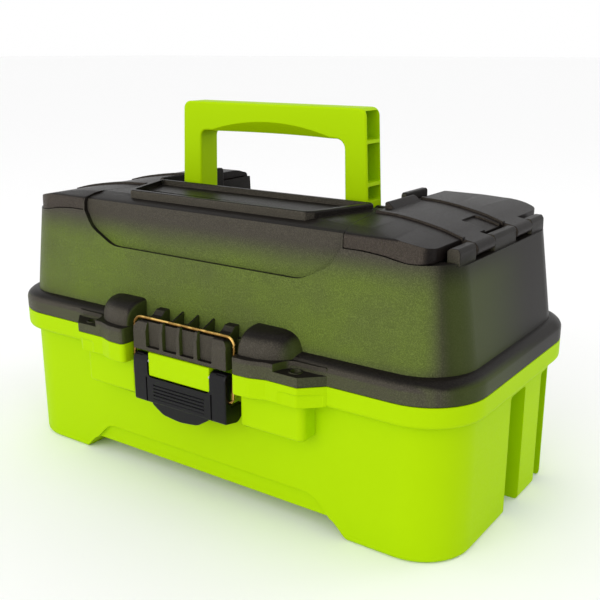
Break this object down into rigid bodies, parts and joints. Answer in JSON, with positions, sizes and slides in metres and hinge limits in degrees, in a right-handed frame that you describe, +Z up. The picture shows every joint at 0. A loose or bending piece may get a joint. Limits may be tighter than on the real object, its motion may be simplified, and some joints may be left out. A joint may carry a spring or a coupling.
{
  "type": "fishing tackle box",
  "caption": "Tackle box: moulded tub, hinged smoke lid with two top hatches and folding handle, cantilever trays that fan out as the lid opens, and a front draw latch with a wire bail.",
  "frame": {"origin": "on the ground under the middle of the tub", "axes": "+X to the right along the box, -Y to the front with the latch, +Z up"},
  "size_m": [0.4, 0.2363, 0.2705],
  "materials": {
    "tub_lime": "satin",
    "handle_lime": "satin",
    "tray_lime": "satin",
    "lid_smoke": "translucent, fine pebble grain",
    "hatch_smoke": "satin, translucent",
    "latch_black": "satin",
    "arm_black": "satin",
    "wire_brass": "drawn wire",
    "pin_steel": "turned"
  },
  "bodies": {
    "root": {"base_tub": "tub_lime", "lid_hinge_pins": "pin_steel", "latch_pin": "pin_steel", "arm_pivot_pins": "pin_steel"},
    "lid": {"lid_shell": "lid_smoke", "handle_pins": "pin_steel", "hatch_pin_left": "pin_steel", "hatch_pin_right": "pin_steel", "tray_screws": "pin_steel"},
    "hatch_left": {"hatch_left": "hatch_smoke"},
    "hatch_right": {"hatch_right": "hatch_smoke"},
    "handle": {"handle": "handle_lime"},
    "tray_lower": {"tray_lower": "tray_lime", "tray_lower_dividers": "tray_lime", "tray_lower_rivets": "pin_steel"},
    "tray_upper": {"tray_upper": "tray_lime", "tray_upper_dividers": "tray_lime", "tray_upper_rivets": "pin_steel"},
    "link_arms": {"link_arm_left": "arm_black", "link_arm_right": "arm_black"},
    "latch_lever": {"latch_lever": "latch_black"},
    "latch_bail": {"latch_bail": "wire_brass"}
  },
  "joints": [
    {"name": "lid_hinge", "type": "hinge", "parent": "root", "child": "lid", "pos_m": [0, 0.1105, 0.108], "axis": [-1, 0, 0], "range_deg": [0, 95]},
    {"name": "link_arm_swing", "type": "hinge", "parent": "root", "child": "link_arms", "pos_m": [0, 0.0645, 0.102], "axis": [-1, 0, 0], "range_deg": [0, 95]},
    {"name": "lower_tray_level", "type": "hinge", "parent": "lid", "child": "tray_lower", "pos_m": [0, 0.052, 0.127], "axis": [-1, 0, 0], "range_deg": [-95, 0]},
    {"name": "upper_tray_level", "type": "hinge", "parent": "lid", "child": "tray_upper", "pos_m": [0, 0.012, 0.16], "axis": [-1, 0, 0], "range_deg": [-95, 0]},
    {"name": "handle_swing", "type": "hinge", "parent": "lid", "child": "handle", "pos_m": [0, 0, 0.197], "axis": [-1, 0, 0], "range_deg": [0, 90]},
    {"name": "hatch_right_hinge", "type": "hinge", "parent": "lid", "child": "hatch_right", "pos_m": [0.177, 0, 0.1925], "axis": [0, 1, 0], "range_deg": [0, 105]},
    {"name": "hatch_left_hinge", "type": "hinge", "parent": "lid", "child": "hatch_left", "pos_m": [-0.177, 0, 0.1925], "axis": [0, -1, 0], "range_deg": [0, 105]},
    {"name": "latch_swing", "type": "hinge", "parent": "root", "child": "latch_lever", "pos_m": [0, -0.1145, 0.0995], "axis": [-1, 0, 0], "range_deg": [0, 105]},
    {"name": "bail_swing", "type": "hinge", "parent": "latch_lever", "child": "latch_bail", "pos_m": [0, -0.115, 0.084], "axis": [-1, 0, 0], "range_deg": [-179, 0]}
  ],
  "couplings": [
    {"joint": "link_arm_swing", "follows": "lid_hinge", "ratio": 1},
    {"joint": "lower_tray_level", "follows": "lid_hinge", "ratio": -1},
    {"joint": "upper_tray_level", "follows": "lid_hinge", "ratio": -1},
    {"joint": "bail_swing", "follows": "latch_swing", "ratio": -1.7}
  ]
}
